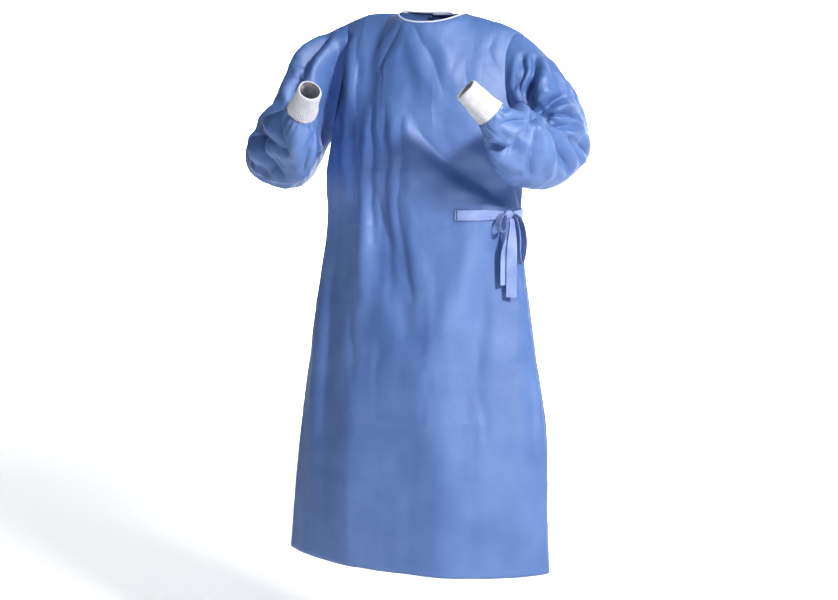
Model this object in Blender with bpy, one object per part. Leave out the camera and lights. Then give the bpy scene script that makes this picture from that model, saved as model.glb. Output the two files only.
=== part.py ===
# Surgical gown of pale blue nonwoven cloth, in the hollow form it takes when worn.
# Z is up, the front faces minus Y and the wearer's left is plus X.
# The origin lies between the side neck points, where the shoulders carry the gown.

from collections import namedtuple
from math import pi

import bmesh
import bpy
import numpy as np

# Cloth, seams and edges, in metres
WALL = 0.0016
CUFF_WALL = 0.0020
SEAM = 0.0004
ARMHOLE_SEAM = 0.0011
KNOT_CLEAR = 0.0008

# Grid of the body panels; the skirt's rows lie a little closer towards the underarm
SHOULDER_COLUMNS = 7
NECK_COLUMNS = 12
OVERLAP_COLUMNS = 12
YOKE_ROWS = 11
SKIRT_ROWS = 20
ROW_EASE = 0.85
CURVE_POINTS = 241
SLEEVE_STEPS = 3

# Yoke: underarm, shoulder tips and neck ring
UNDERARM_Z = -0.258
SHOULDER_X = 0.205
SHOULDER_Y = 0.004
SHOULDER_Z = {-1: -0.025, 1: -0.054}
SHOULDER_RISE = {-1: 0.011, 1: 0.006}
NECK_X = 0.076
NECK_FRONT = 0.080
NECK_BACK = 0.061
NECK_DROP = 0.030
NECK_LIFT = -0.003
NECK_Z = {-1: 0.0, 1: -0.006}
NECK_CURVE = 1.4
ARMHOLE_FRONT = 0.135
ARMHOLE_BACK = 0.125
NECK_TURN = 0.45
NECK_EASE = 1.8

# The cloth is eased up and down where the yoke begins, strongest at the underarm
CHEST_EASE = 0.030
CHEST_REACH = 0.100
CHEST_STEPS = 33

# Back closure: the right back panel wraps over the left one
UNDER_COLUMNS = 14
OVER_LIFT = 0.0055
OVER_RAMP = 0.10
OVER_EDGE_NECK = 0.44
OVER_EDGE_HEM = 0.16
OVER_EDGE_CURVE = 0.8

# How much lower the hem hangs at the wearer's left
HEM_DIP = 0.010

# One row for each level of the body: widths to the wearer's right and left of the
# middle, depth of the bulge in front and behind, where the side folds lie in Y, and
# how pointed the side folds are (1 is an ellipse, 2 is a lens)
Level = namedtuple("Level", "z right left front back middle point")
LEVELS = (
    Level(UNDERARM_Z, 0.222, 0.212, 0.122, 0.112, 0.000, 1.00),
    Level(-0.340, 0.240, 0.205, 0.122, 0.108, -0.002, 1.05),
    Level(-0.440, 0.234, 0.200, 0.112, 0.100, -0.006, 1.10),
    Level(-0.540, 0.246, 0.209, 0.112, 0.104, -0.012, 1.20),
    Level(-0.640, 0.264, 0.220, 0.116, 0.110, -0.016, 1.30),
    Level(-0.760, 0.284, 0.238, 0.122, 0.116, -0.020, 1.40),
    Level(-0.880, 0.301, 0.258, 0.127, 0.120, -0.024, 1.50),
    Level(-1.030, 0.317, 0.270, 0.131, 0.124, -0.028, 1.60),
    Level(-1.180, 0.330, 0.277, 0.134, 0.126, -0.030, 1.65),
)

# One row for each large fold of the front: its two ends in X and Z, how far it
# stands out (or sinks in, if below zero) and half its width. A fold is shallower at its
# ends, and the three columns next to a seam take only part of it.
Fold = namedtuple("Fold", "x1 z1 x2 z2 depth width")
FOLD_ENDS = 0.55
SEAM_RAMP = (0.0, 0.35, 0.8)
FRONT_FOLDS = (
    Fold(-0.075, -0.190, 0.000, -0.325, 0.010, 0.026),
    Fold(0.000, -0.325, 0.165, -0.440, 0.013, 0.024),
    Fold(0.040, -0.230, 0.080, -0.310, -0.010, 0.030),
    Fold(0.080, -0.310, 0.180, -0.380, -0.014, 0.028),
    Fold(-0.035, -0.080, 0.005, -0.190, -0.007, 0.016),
    Fold(-0.130, -0.080, -0.095, -0.200, -0.006, 0.018),
    Fold(-0.165, -0.250, -0.120, -0.420, -0.010, 0.024),
    Fold(-0.120, -0.370, -0.125, -0.640, 0.012, 0.022),
    Fold(-0.095, -0.380, -0.015, -0.680, -0.013, 0.024),
    Fold(-0.062, -0.470, -0.045, -0.700, 0.010, 0.020),
    Fold(0.130, -0.470, 0.030, -0.760, 0.010, 0.030),
    Fold(0.165, -0.480, 0.110, -0.900, -0.010, 0.026),
    Fold(-0.190, -0.420, -0.205, -0.900, -0.012, 0.026),
    Fold(0.060, -0.800, 0.070, -1.180, 0.010, 0.045),
    Fold(-0.130, -0.820, -0.150, -1.180, 0.008, 0.040),
)
BACK_FOLDS = (
    Fold(0.110, -0.420, 0.140, -1.000, -0.012, 0.028),
    Fold(0.040, -0.440, 0.060, -1.180, 0.010, 0.032),
    Fold(-0.050, -0.430, -0.070, -1.100, -0.012, 0.030),
    Fold(-0.130, -0.400, -0.170, -1.180, 0.011, 0.030),
    Fold(-0.080, -0.150, -0.020, -0.360, -0.009, 0.028),
    Fold(0.080, -0.160, 0.030, -0.340, 0.008, 0.028),
)

# One row for each ring of a sleeve, from the armhole to the wrist, as the points on
# the crook side, the outer side, the elbow side and the side next to the body.
# X is measured outwards from the middle of the body on both arms.
Ring = namedtuple("Ring", "crook outer elbow inner")
LEFT_RINGS = (
    Ring((0.243, -0.081, -0.162), (0.275, 0.010, -0.126), (0.250, 0.085, -0.180), (0.236, 0.000, -0.278)),
    Ring((0.262, -0.088, -0.212), (0.315, 0.008, -0.203), (0.285, 0.096, -0.270), (0.240, 0.008, -0.318)),
    Ring((0.265, -0.093, -0.230), (0.337, -0.012, -0.272), (0.296, 0.076, -0.330), (0.240, -0.010, -0.350)),
    Ring((0.262, -0.103, -0.236), (0.322, -0.052, -0.308), (0.284, -0.012, -0.364), (0.232, -0.060, -0.352)),
    Ring((0.245, -0.135, -0.222), (0.303, -0.118, -0.288), (0.258, -0.095, -0.371), (0.206, -0.125, -0.322)),
    Ring((0.228, -0.178, -0.208), (0.274, -0.180, -0.268), (0.222, -0.162, -0.359), (0.174, -0.172, -0.290)),
    Ring((0.238, -0.215, -0.217), (0.240, -0.240, -0.250), (0.190, -0.212, -0.308), (0.180, -0.198, -0.258)),
)
RIGHT_RINGS = (
    Ring((0.242, -0.085, -0.160), (0.307, -0.006, -0.080), (0.258, 0.082, -0.170), (0.248, 0.000, -0.280)),
    Ring((0.268, -0.098, -0.208), (0.346, -0.030, -0.182), (0.305, 0.084, -0.262), (0.262, 0.002, -0.318)),
    Ring((0.278, -0.110, -0.232), (0.406, -0.068, -0.282), (0.362, 0.030, -0.337), (0.270, -0.020, -0.352)),
    Ring((0.272, -0.128, -0.238), (0.380, -0.118, -0.312), (0.336, -0.072, -0.369), (0.258, -0.092, -0.348)),
    Ring((0.255, -0.178, -0.224), (0.334, -0.172, -0.288), (0.288, -0.148, -0.367), (0.226, -0.164, -0.315)),
    Ring((0.232, -0.222, -0.208), (0.284, -0.226, -0.262), (0.220, -0.212, -0.352), (0.190, -0.220, -0.285)),
    Ring((0.214, -0.235, -0.216), (0.236, -0.262, -0.246), (0.188, -0.250, -0.305), (0.170, -0.238, -0.252)),
)

# One row for each cuff: middle of its seam, the way it points, its crook side
Cuff = namedtuple("Cuff", "base aim crook")
CUFFS = {
    1: Cuff((0.195, -0.239, -0.222), (-0.60, -0.41, 0.68), (0.74, 0.24, 0.62)),
    -1: Cuff((0.188, -0.266, -0.214), (-0.50, -0.66, 0.56), (0.35, 0.45, 0.80)),
}
CUFF_LENGTH = 0.070
CUFF_BASE_RADIUS = 0.0315
CUFF_END_RADIUS = 0.0255
CUFF_RIBS = 32
CUFF_RIB = 0.0011
CUFF_ROWS = 3
SLEEVE_END = 0.010
SLEEVE_EASE = 0.0015

# One row for each deep crease of a sleeve, its ends in outward X, Y and Z
Crease = namedtuple("Crease", "start end depth width")
LEFT_CREASES = (
    Crease((0.258, -0.090, -0.215), (0.235, -0.070, -0.110), 0.010, 0.020),
    Crease((0.270, -0.090, -0.225), (0.345, -0.030, -0.215), 0.010, 0.018),
    Crease((0.268, -0.105, -0.250), (0.325, -0.100, -0.345), 0.009, 0.018),
    Crease((0.250, -0.130, -0.260), (0.235, -0.150, -0.360), 0.009, 0.018),
    Crease((0.235, 0.090, -0.200), (0.300, 0.060, -0.330), 0.008, 0.022),
)
RIGHT_CREASES = (
    Crease((0.290, -0.020, -0.100), (0.268, -0.100, -0.200), 0.010, 0.018),
    Crease((0.280, -0.115, -0.240), (0.385, -0.100, -0.295), 0.013, 0.020),
    Crease((0.285, -0.140, -0.262), (0.330, -0.155, -0.345), 0.010, 0.018),
    Crease((0.240, 0.088, -0.190), (0.330, 0.050, -0.310), 0.008, 0.022),
)

# Neck binding, a folded strip along the cut edge, thicker than the cloth
BINDING_WIDTH = 0.0065
BINDING_WALL = 0.0008

# Waist ties, their knot and what hangs from it. Columns count along the front's grid, and
# the ties' ends reach past the knot's widest point by the knot's seat, close to its side.
TIE_WIDTH = 0.022
TIE_WALL = 0.0012
TIE_LIFT = 0.0026
TIE_SEWN_LIFT = 0.0007
TIE_Z = -0.426
TIE_START_COLUMN = 17.9
TIE_OVERLAP_COLUMNS = 1.6
TIE_EDGE_COLUMNS = 0.1
TIE_GATHER = 0.6
TIE_END_LIFT = 0.0050
TIE_STEPS = 9
TIE_TURN_STEPS = 3
KNOT_COLUMN = 23.35
KNOT_RADII = (0.0125, 0.0075, 0.0110)
KNOT_SEAT = -0.0003
KNOT_SIDES = 12
KNOT_RINGS = 8

# One row for each free ribbon of the bow: points of its middle line, in the knot's
# frame of right, out and up, the direction across its face at the knot and further on,
# and its width
Ribbon = namedtuple("Ribbon", "name path across across_end width")
RIBBONS = (
    Ribbon("tie_tail_front", ((0.0033, 0.0060, -0.0075), (0.0015, 0.0115, -0.026), (-0.0035, 0.0155, -0.075),
                              (-0.0045, 0.0165, -0.125), (-0.0050, 0.0160, -0.171)),
           (1.0, -0.25, 0.0), (0.78, 0.62, 0.0), 0.0220),
    Ribbon("tie_tail_back", ((-0.0086, 0.0046, -0.0078), (-0.0140, 0.0060, -0.030), (-0.0160, 0.0055, -0.070),
                             (-0.0165, 0.0055, -0.110), (-0.0165, 0.0055, -0.146)),
           (0.25, 1.0, 0.0), (-1.0, 0.05, 0.0), 0.0195),
    Ribbon("bow_loop_front", ((-0.0126, 0.0062, 0.0028), (-0.022, 0.007, 0.003), (-0.031, 0.008, -0.006),
                              (-0.036, 0.009, -0.020), (-0.031, 0.009, -0.034), (-0.022, 0.008, -0.032),
                              (-0.017, 0.007, -0.018), (-0.0124, 0.0062, -0.0033)),
           (0.0, 1.0, 0.0), (0.0, 1.0, 0.0), 0.018),
    Ribbon("bow_loop_side", ((0.0126, 0.0062, 0.0019), (0.022, 0.007, -0.006), (0.031, 0.008, -0.025),
                             (0.037, 0.008, -0.055), (0.034, 0.008, -0.085), (0.026, 0.008, -0.104),
                             (0.020, 0.007, -0.085), (0.0185, 0.007, -0.055), (0.0168, 0.007, -0.025),
                             (0.0126, 0.0062, -0.0052)),
           (0.0, 1.0, 0.0), (0.0, 1.0, 0.0), 0.018),
)
RIBBON_STEPS = 2
RIBBON_TURN_FROM = 2.0
RIBBON_TURN_OVER = 2.5

# Finishes: colour, roughness, metallic
CLOTH_BLUE = (0.175, 0.300, 0.640, 1.0)
TIE_BLUE = (0.330, 0.440, 0.760, 1.0)
KNIT_WHITE = (0.800, 0.810, 0.860, 1.0)
BINDING_PALE = (0.560, 0.620, 0.820, 1.0)


def unit(vectors):
    """Scale vectors to length one."""
    vectors = np.asarray(vectors, dtype=float)
    return vectors / np.linalg.norm(vectors, axis=-1, keepdims=True)


def make_finish(name, colour, roughness):
    """A plain surface finish for one kind of cloth."""
    finish = bpy.data.materials.new(name)
    finish.use_nodes = True
    shader = finish.node_tree.nodes["Principled BSDF"]
    shader.inputs["Base Color"].default_value = colour
    shader.inputs["Roughness"].default_value = roughness
    shader.inputs["Metallic"].default_value = 0.0
    return finish


def make_object(name, bm, finish):
    """Turn a closed bmesh into a named object."""
    bm.normal_update()
    bmesh.ops.recalc_face_normals(bm, faces=bm.faces[:])
    mesh = bpy.data.meshes.new(name)
    bm.to_mesh(mesh)
    bm.free()
    mesh.materials.append(finish)
    mesh.shade_smooth()
    piece = bpy.data.objects.new(name, mesh)
    bpy.context.scene.collection.objects.link(piece)
    return piece


def add_grid(bm, points):
    """A sheet of quads whose corners lie on rows of points; equal points are joined."""
    rows, columns = points.shape[:2]
    label = bm.verts.layers.int.new("point")
    bmesh.ops.create_grid(bm, x_segments=columns - 1, y_segments=rows - 1, size=1.0)
    for number, (vert, place) in enumerate(zip(bm.verts, points.reshape(-1, 3))):
        vert[label] = number
        vert.co = place
    bmesh.ops.remove_doubles(bm, verts=bm.verts[:], dist=1e-7)
    return label


def make_cloth(name, outer, inner, finish):
    """A closed wall between an outer and an inner grid of the same size."""
    bm = bmesh.new()
    label = add_grid(bm, outer)
    grown = bmesh.ops.extrude_face_region(bm, geom=bm.faces[:], use_keep_orig=True)
    places = inner.reshape(-1, 3)
    for item in grown["geom"]:
        if isinstance(item, bmesh.types.BMVert):
            item.co = places[item[label]]
    return make_object(name, bm, finish)


def make_bar(name, sections, finish):
    """A solid bar through closed sections, with filled ends."""
    sections = np.asarray(sections)
    closed = np.concatenate([sections, sections[:, :1]], axis=1)
    bm = bmesh.new()
    add_grid(bm, closed)
    rims = [edge for edge in bm.edges if edge.is_boundary]
    bmesh.ops.holes_fill(bm, edges=rims, sides=0)
    return make_object(name, bm, finish)


def read_level(column, z):
    """Read one column of the body's level table at height z, on a smooth curve."""
    heights = np.array([level.z for level in LEVELS])
    values = np.array([getattr(level, column) for level in LEVELS])
    slopes = np.gradient(values, heights)
    place = np.clip(np.searchsorted(-heights, -z) - 1, 0, len(heights) - 2)
    span = heights[place + 1] - heights[place]
    t = np.clip((z - heights[place]) / span, 0.0, 1.0)
    start = (2 * t**3 - 3 * t**2 + 1) * values[place] + (t**3 - 2 * t**2 + t) * span * slopes[place]
    end = (3 * t**2 - 2 * t**3) * values[place + 1] + (t**3 - t**2) * span * slopes[place + 1]
    return start + end


def along_curve(points, fractions):
    """Points at fractions of the length of a finely drawn curve."""
    steps = np.linalg.norm(np.diff(points, axis=0), axis=1)
    length = np.concatenate([[0.0], np.cumsum(steps)])
    wanted = np.asarray(fractions) * length[-1]
    return np.stack([np.interp(wanted, length, points[:, axis]) for axis in range(3)], axis=1)


def body_row(z, facing, fractions):
    """Half a level of the body, from one side fold to the other.

    The front runs from the wearer's right to the left, the back from left to right.
    """
    angle = np.linspace(0.0, pi, CURVE_POINTS)
    across = -np.cos(angle) * -facing
    width = np.where(across < 0.0, read_level("right", z), read_level("left", z))
    depth = read_level("front", z) if facing < 0 else read_level("back", z)
    bulge = np.sin(angle) ** read_level("point", z)
    middle = read_level("middle", z)
    share = (UNDERARM_Z - z) / (UNDERARM_Z - LEVELS[-1].z)
    height = z - HEM_DIP * share**2 * np.clip(across, 0.0, 1.0)
    points = np.stack([across * width, middle + facing * depth * bulge, height], axis=1)
    return along_curve(points, fractions)


def top_row(facing, fractions):
    """Half the top edge of the body: shoulder seam, neckline and shoulder seam."""
    share = SHOULDER_COLUMNS / (2 * SHOULDER_COLUMNS + NECK_COLUMNS)
    first = -1 if facing < 0 else 1
    depth = NECK_FRONT if facing < 0 else NECK_BACK
    drop = -NECK_DROP if facing < 0 else NECK_LIFT
    points = []
    for fraction in fractions:
        nearest = min(fraction, 1.0 - fraction)
        side = first if fraction <= 0.5 else -first
        if nearest < share:
            t = nearest / share
            x = SHOULDER_X + (NECK_X - SHOULDER_X) * t
            z = SHOULDER_Z[side] * (1.0 - t) + NECK_Z[side] * t + SHOULDER_RISE[side] * np.sin(pi * t)
            points.append((side * x, SHOULDER_Y * (1.0 - t), z))
        else:
            turn = pi * (nearest - share) / (1.0 - 2.0 * share)
            y = facing * depth * np.sin(turn)
            z = NECK_Z[side] * abs(np.cos(turn)) + drop * np.sin(turn) ** NECK_CURVE
            points.append((side * NECK_X * np.cos(turn), y, z))
    return np.array(points)


def yoke_row(turn, facing, fractions):
    """A row of the yoke, from armhole to armhole, at turn 0 for the underarm and pi for the top."""
    trim = (ARMHOLE_FRONT if facing < 0 else ARMHOLE_BACK) * np.sin(turn)
    fractions = trim + (1.0 - 2.0 * trim) * np.asarray(fractions)
    rise = (1.0 - np.cos(turn)) / 2.0
    chest = body_row(UNDERARM_Z, facing, fractions)
    top = top_row(facing, fractions)
    bend = 1.0 - (1.0 - NECK_TURN) * np.sin(pi * fractions) ** 2
    over = (1.0 - bend) * rise**NECK_EASE + bend * (1.0 - np.sqrt(1.0 - rise**2))
    row = chest + (top - chest) * over[:, None]
    row[:, 2] = chest[:, 2] + (top[:, 2] - chest[:, 2]) * rise
    return row


def skirt_heights():
    """Heights of the rows from the hem up to the underarm."""
    steps = np.linspace(0.0, 1.0, SKIRT_ROWS + 1) ** ROW_EASE
    return LEVELS[-1].z + (UNDERARM_Z - LEVELS[-1].z) * steps


def yoke_turns():
    """Turn of each row of the yoke above the underarm."""
    return pi * np.arange(1, YOKE_ROWS + 1) / YOKE_ROWS


def yoke_heights():
    """Height of each row of the yoke at the side, above the underarm."""
    return UNDERARM_Z * (1.0 + np.cos(yoke_turns())) / 2.0


def panel_grid(facing, fractions_at):
    """Rows of a body panel from hem to top; fractions_at gives its columns by height."""
    rows = [body_row(z, facing, fractions_at(z)) for z in skirt_heights()]
    for turn, z in zip(yoke_turns(), yoke_heights()):
        rows.append(yoke_row(turn, facing, fractions_at(z)))
    return np.array(rows)


def ease_chest(points, mask):
    """Smooth a body grid up and down where its yoke begins, but not at its seams."""
    eased = points.copy()
    for column in range(points.shape[1]):
        line = points[:, column]
        for row in range(1, points.shape[0] - 1):
            z = line[row, 2]
            spread = CHEST_EASE * (1.0 - abs(z - UNDERARM_Z) / CHEST_REACH)
            if spread <= 0.0:
                continue
            near = z + spread * np.linspace(-2.0, 2.0, CHEST_STEPS)
            weights = np.exp(-(((near - z) / spread) ** 2))
            for axis in (0, 1):
                mean = np.average(np.interp(near, line[:, 2], line[:, axis]), weights=weights)
                eased[row, column, axis] += mask[row, column] * (mean - line[row, axis])
    return eased


def grid_normals(points, closed=False):
    """Outward unit normals of a grid whose columns run anticlockwise seen from above."""
    if closed:
        ring = points[:, :-1]
        across = np.roll(ring, -1, axis=1) - np.roll(ring, 1, axis=1)
        across = np.concatenate([across, across[:, :1]], axis=1)
    else:
        across = np.gradient(points, axis=1)
    return unit(np.cross(across, np.gradient(points, axis=0)))


def distance_to(points, start, end):
    """Distance of points from a straight line, and where along it they lie."""
    start = np.asarray(start)
    line = np.asarray(end) - start
    t = np.clip((points - start) @ line / (line @ line), 0.0, 1.0)
    return np.linalg.norm(points - start - t[..., None] * line, axis=-1), t


def add_folds(points, folds, mask):
    """Push a body grid out or in along its normals by the folds of a table."""
    flat = points[..., [0, 2]]
    push = np.zeros(points.shape[:2])
    for fold in folds:
        far, t = distance_to(flat, (fold.x1, fold.z1), (fold.x2, fold.z2))
        depth = fold.depth * (FOLD_ENDS + (1.0 - FOLD_ENDS) * np.sin(pi * t))
        push += depth * np.exp(-((far / fold.width) ** 2))
    return points + grid_normals(points) * (push * mask)[..., None]


def edge_mask(points, last_free):
    """Zero along a grid's seams and one away from them; its last column may be a free edge."""
    ramp = np.array(SEAM_RAMP)
    width = len(ramp)
    mask = np.ones(points.shape[:2])
    mask[:, :width] *= ramp
    if not last_free:
        mask[:, -width:] *= ramp[::-1]
    mask[-width:, :] *= ramp[::-1, None]
    return mask


def pull_back(points, sides, foot_gap=SEAM):
    """Draw the named edges of a grid in by the seam gap."""
    points = points.copy()
    if "first" in sides:
        points[:, 0] += SEAM * unit(points[:, 1] - points[:, 0])
    if "last" in sides:
        points[:, -1] += SEAM * unit(points[:, -2] - points[:, -1])
    if "top" in sides:
        points[-1] += SEAM * unit(points[-2] - points[-1])
    if "foot" in sides:
        points[0] += foot_gap * unit(points[1] - points[0])
    return points


def front_fractions(z):
    """Columns of the front, even from side fold to side fold."""
    return np.linspace(0.0, 1.0, 2 * SHOULDER_COLUMNS + NECK_COLUMNS + 1)


def under_fractions(z):
    """Columns of the left back panel, from the left side fold past the middle."""
    return front_fractions(z)[: UNDER_COLUMNS + 1]


def over_fractions(z):
    """Columns of the right back panel, from the right side fold to its free edge."""
    share = (z - UNDERARM_Z) / (LEVELS[-1].z - UNDERARM_Z)
    share = np.clip((z / LEVELS[-1].z + max(share, 0.0)) / 2.0, 0.0, 1.0)
    edge = OVER_EDGE_NECK + (OVER_EDGE_HEM - OVER_EDGE_NECK) * share**OVER_EDGE_CURVE
    shoulder = front_fractions(z)[::-1][: SHOULDER_COLUMNS + 1]
    rest = np.linspace(shoulder[-1], edge, OVERLAP_COLUMNS + 1)[1:]
    return np.concatenate([shoulder, rest])


def body_panels():
    """Outer grids of the front and the two back panels."""
    front = panel_grid(-1, front_fractions)
    mask = edge_mask(front, last_free=False)
    front = add_folds(ease_chest(front, mask), FRONT_FOLDS, mask)
    under = panel_grid(1, under_fractions)
    mask = edge_mask(under, last_free=True)
    under = add_folds(ease_chest(under, mask), BACK_FOLDS, mask)
    over = panel_grid(1, over_fractions)[:, ::-1]
    mask = edge_mask(over[:, ::-1], last_free=True)[:, ::-1]
    over = add_folds(ease_chest(over, mask), BACK_FOLDS, mask)
    over = over + grid_normals(over) * over_lift()[..., None]
    return {"front": front, "under": under, "over": over}


def over_lift():
    """How far each point of the wrapping panel stands off the panel under it."""
    first = front_fractions(0.0)[::-1][SHOULDER_COLUMNS]
    lifts = []
    for z in np.concatenate([skirt_heights(), yoke_heights()]):
        fractions = over_fractions(z)[::-1]
        t = np.clip((first - fractions) / OVER_RAMP, 0.0, 1.0)
        lifts.append(OVER_LIFT * t * t * (3.0 - 2.0 * t))
    return np.array(lifts)


def armhole_loop(panels, side):
    """The armhole's points, from the underarm up the front and down the back."""
    back = panels["under"][:, 0] if side > 0 else panels["over"][:, -1]
    front = panels["front"][:, -1] if side > 0 else panels["front"][:, 0]
    rows = slice(SKIRT_ROWS, SKIRT_ROWS + YOKE_ROWS + 1)
    return np.concatenate([front[rows], back[rows][::-1][1:-1]])


def cuff_ring(side, along, radius, count):
    """A ring of a cuff, starting next to the body, in outward coordinates."""
    cuff = CUFFS[side]
    aim = unit(cuff.aim)
    crook = np.array(cuff.crook)
    crook = unit(crook - (crook @ aim) * aim)
    outer = np.cross(crook, aim)
    angle = 2.0 * pi * np.arange(count) / count - pi / 2.0
    radius = np.broadcast_to(radius, angle.shape)[:, None]
    spokes = np.outer(np.cos(angle), crook) + np.outer(np.sin(angle), outer)
    return np.array(cuff.base) + along * aim + radius * spokes


def table_ring(ring, count):
    """A smooth ring through the four named points of a sleeve's table row."""
    crook, outer, elbow, inner = (np.array(point) for point in ring)
    angle = 2.0 * pi * np.arange(count) / count - pi / 2.0
    middle = (crook + outer + elbow + inner) / 4.0
    swell = (crook + elbow - outer - inner) / 4.0
    points = np.outer(np.cos(angle), (crook - elbow) / 2.0)
    points += np.outer(np.sin(angle), (outer - inner) / 2.0)
    return middle + points + np.outer(np.cos(2.0 * angle), swell)


def smooth_rings(rings, steps):
    """Rings between the given ones, on smooth curves through their points."""
    rings = np.array(rings)
    ends = np.concatenate([2 * rings[:1] - rings[1:2], rings, 2 * rings[-1:] - rings[-2:-1]])
    result = []
    for a, b, c, d in zip(ends, ends[1:], ends[2:], ends[3:]):
        for step in range(steps):
            t = step / steps
            curve = 2 * b + (c - a) * t + (2 * a - 5 * b + 4 * c - d) * t**2
            result.append((curve + (3 * b - a - 3 * c + d) * t**3) / 2.0)
    result.append(rings[-1])
    return np.array(result)


def sleeve_grid(panels, side):
    """Outer grid of a sleeve from the armhole to the wrist, closed round."""
    loop = armhole_loop(panels, side) * (side, 1.0, 1.0)
    count = len(loop)
    table = LEFT_RINGS if side > 0 else RIGHT_RINGS
    rings = [loop] + [table_ring(ring, count) for ring in table]
    rings.append(cuff_ring(side, -SLEEVE_END, CUFF_BASE_RADIUS + SLEEVE_EASE, count))
    grid = smooth_rings(rings, SLEEVE_STEPS)
    grid = np.concatenate([grid, [cuff_ring(side, 0.0, CUFF_BASE_RADIUS, count)]])
    grid = np.concatenate([grid, grid[:, :1]], axis=1)
    creases = LEFT_CREASES if side > 0 else RIGHT_CREASES
    push = np.zeros(grid.shape[:2])
    for crease in creases:
        far, t = distance_to(grid, crease.start, crease.end)
        push -= crease.depth * np.exp(-(far / crease.width) ** 2)
    push[:2] = 0.0
    push[-2:] = 0.0
    grid = grid - grid_normals(grid, closed=True) * push[..., None]
    return grid * (side, 1.0, 1.0)


def build_body_and_sleeves(finish):
    """The front, the two back panels and both sleeves, parted at their seams."""
    panels = body_panels()
    normals = {name: grid_normals(grid) for name, grid in panels.items()}
    join_normals(normals, "front", (slice(None), -1), "under", (slice(None), 0))
    join_normals(normals, "front", (slice(None), 0), "over", (slice(None), -1))
    left = slice(-SHOULDER_COLUMNS - 1, None)
    right = slice(None, SHOULDER_COLUMNS + 1)
    join_normals(normals, "front", (-1, left), "under", (-1, right), flip=True)
    join_normals(normals, "front", (-1, right), "over", (-1, left), flip=True)
    sleeves = {}
    for side in (1, -1):
        grid = sleeve_grid(panels, side)
        sleeve = grid_normals(grid, closed=True) * -side
        sleeve[-1] = unit(grid[-1] - np.array(CUFFS[side].base) * (side, 1.0, 1.0))
        join_armhole(normals, sleeve, side)
        sleeves[side] = (grid, sleeve)
    edges = {"front": ("first", "last", "top"), "under": ("first", "top"), "over": ("last", "top")}
    names = {"front": "gown_front", "under": "gown_back_under", "over": "gown_back_over"}
    walls = {}
    for key, name in names.items():
        outer = pull_back(panels[key], edges[key])
        walls[key] = (outer, normals[key])
        make_cloth(name, outer, outer - WALL * normals[key], finish)
    for side, name in ((1, "sleeve_left"), (-1, "sleeve_right")):
        grid, sleeve = sleeves[side]
        outer = pull_back(grid, ("top", "foot"), ARMHOLE_SEAM)
        make_cloth(name, outer, outer - WALL * sleeve, finish)
    return walls


def join_normals(normals, a, where_a, b, where_b, flip=False):
    """Give the two sides of a seam the same normals, so that their edges stay parallel."""
    other = normals[b][where_b]
    if flip:
        other = other[::-1]
    shared = unit(normals[a][where_a] + other)
    normals[a][where_a] = shared
    normals[b][where_b] = shared[::-1] if flip else shared


def join_armhole(normals, sleeve, side):
    """Share the normals along an armhole between the sleeve and the panels."""
    back, back_column = ("under", 0) if side > 0 else ("over", -1)
    front_column = -1 if side > 0 else 0
    rows = np.arange(SKIRT_ROWS, SKIRT_ROWS + YOKE_ROWS + 1)
    count = 2 * YOKE_ROWS
    for place in range(count):
        row = rows[place] if place <= YOKE_ROWS else rows[count - place]
        owners = []
        if place <= YOKE_ROWS:
            owners.append(("front", row, front_column))
        if place >= YOKE_ROWS or place == 0:
            owners.append((back, row, back_column))
        body = unit(sum(normals[name][at, column] for name, at, column in owners))
        shared = unit(body + sleeve[0, place])
        sleeve[0, place] = shared
        for name, at, column in owners:
            normals[name][at, column] = shared
    sleeve[0, -1] = sleeve[0, 0]


def build_cuff(side, name, finish):
    """A knitted cuff with raised ribs outside and a plain inside."""
    count = 2 * CUFF_RIBS
    ribs = np.where(np.arange(count) % 2 == 0, CUFF_RIB, 0.0)
    outer = []
    inner = []
    for row in range(CUFF_ROWS + 1):
        t = row / CUFF_ROWS
        along = SEAM + (CUFF_LENGTH - SEAM) * t
        radius = CUFF_BASE_RADIUS + (CUFF_END_RADIUS - CUFF_BASE_RADIUS) * np.sin(pi * t / 2.0)
        low = radius - CUFF_RIB
        outer.append(cuff_ring(side, along, low + ribs, count))
        inner.append(cuff_ring(side, along, low - CUFF_WALL + CUFF_RIB, count))
    grids = [np.array(rows) for rows in (outer, inner)]
    grids = [np.concatenate([grid, grid[:, :1]], axis=1) * (side, 1.0, 1.0) for grid in grids]
    make_cloth(name, grids[0], grids[1], finish)


def build_binding(walls, finish):
    """The narrow binding that wraps the cut edge of the neck, open at the back overlap."""
    neck = slice(SHOULDER_COLUMNS, SHOULDER_COLUMNS + NECK_COLUMNS + 1)
    stretches = (
        ("under", slice(UNDER_COLUMNS, SHOULDER_COLUMNS + 1, -1)),
        ("front", slice(neck.stop - 1, neck.start - 1, -1)),
        ("over", slice(OVERLAP_COLUMNS - 2, None, -1)),
    )
    edges, outs = [], []
    for key, columns in stretches:
        outer, normals = walls[key]
        edges.append(outer[-1, columns])
        outs.append(normals[-1, columns])
    edges, outs = np.concatenate(edges), np.concatenate(outs)
    ups = unit(np.cross(outs, np.gradient(edges, axis=0)))
    inward = np.array((0.0, (NECK_BACK - NECK_FRONT) / 2.0, 0.0)) - edges
    ups *= np.sign(np.sum(ups * inward, axis=1, keepdims=True))
    foot, top = 2 * SEAM, BINDING_WIDTH
    inside, outside = -WALL - BINDING_WALL, BINDING_WALL
    profile = ((foot, inside), (foot, outside), (top, outside), (top, inside))
    sections = [[edge + up * a + out * b for a, b in profile] for edge, out, up in zip(edges, outs, ups)]
    make_bar("neck_binding", sections, finish)


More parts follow.
